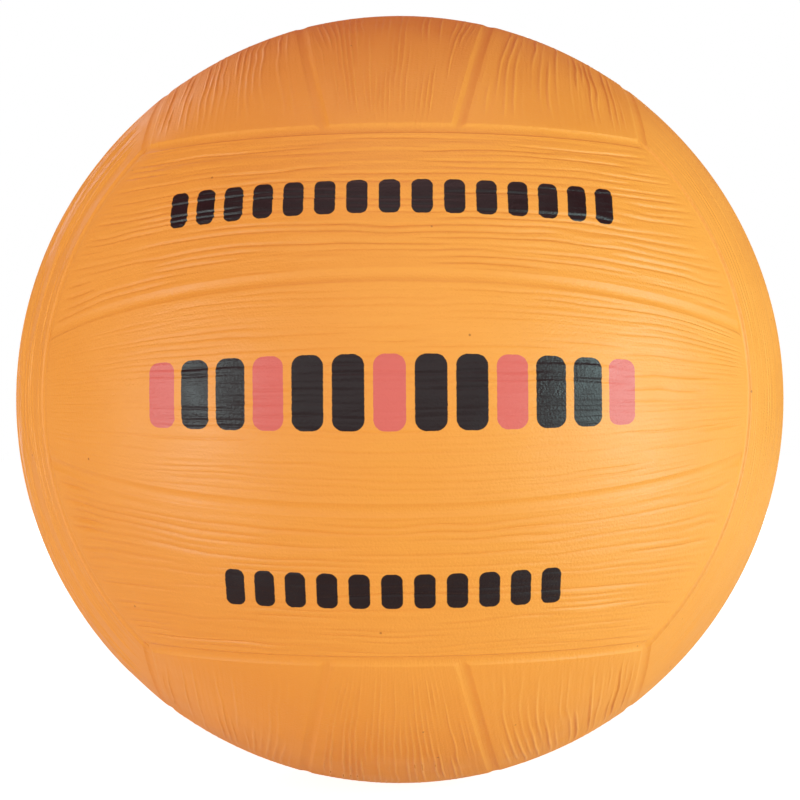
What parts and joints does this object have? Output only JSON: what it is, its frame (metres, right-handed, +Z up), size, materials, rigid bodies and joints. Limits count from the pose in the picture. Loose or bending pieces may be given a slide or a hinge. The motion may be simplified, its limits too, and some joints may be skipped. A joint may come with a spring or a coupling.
{
  "type": "water polo ball",
  "caption": "Round orange water polo ball with a moulded rubber strip-panel cover over a wound air bladder, and a rear needle valve whose core pulls out.",
  "frame": {"origin": "centre of the ball", "axes": "+Z up, the front face towards -Y, the valve on +Y with its needle passage along Y"},
  "size_m": [0.22, 0.2199, 0.22],
  "materials": {
    "cover": "matte",
    "carcass": "matte",
    "winding": "satin",
    "bladder": "satin",
    "valve": "matte",
    "core": "satin"
  },
  "bodies": {
    "ball": {"front_upper_panel": "cover", "front_middle_panel": "cover", "front_lower_panel": "cover", "back_upper_panel": "cover", "back_middle_panel": "cover", "back_lower_panel": "cover", "left_front_panel": "cover", "left_middle_panel": "cover", "left_rear_panel": "cover", "right_front_panel": "cover", "right_middle_panel": "cover", "right_rear_panel": "cover", "top_left_panel": "cover", "top_middle_panel": "cover", "top_right_panel": "cover", "bottom_left_panel": "cover", "bottom_middle_panel": "cover", "bottom_right_panel": "cover", "rubber_carcass": "carcass", "nylon_winding": "winding", "bladder": "bladder", "valve_boot": "valve"},
    "valve_core": {"valve_core": "core"}
  },
  "joints": [
    {"name": "core_pull", "type": "slide", "parent": "ball", "child": "valve_core", "axis": [0, 1, 0], "range_m": [0, 0.028]}
  ]
}
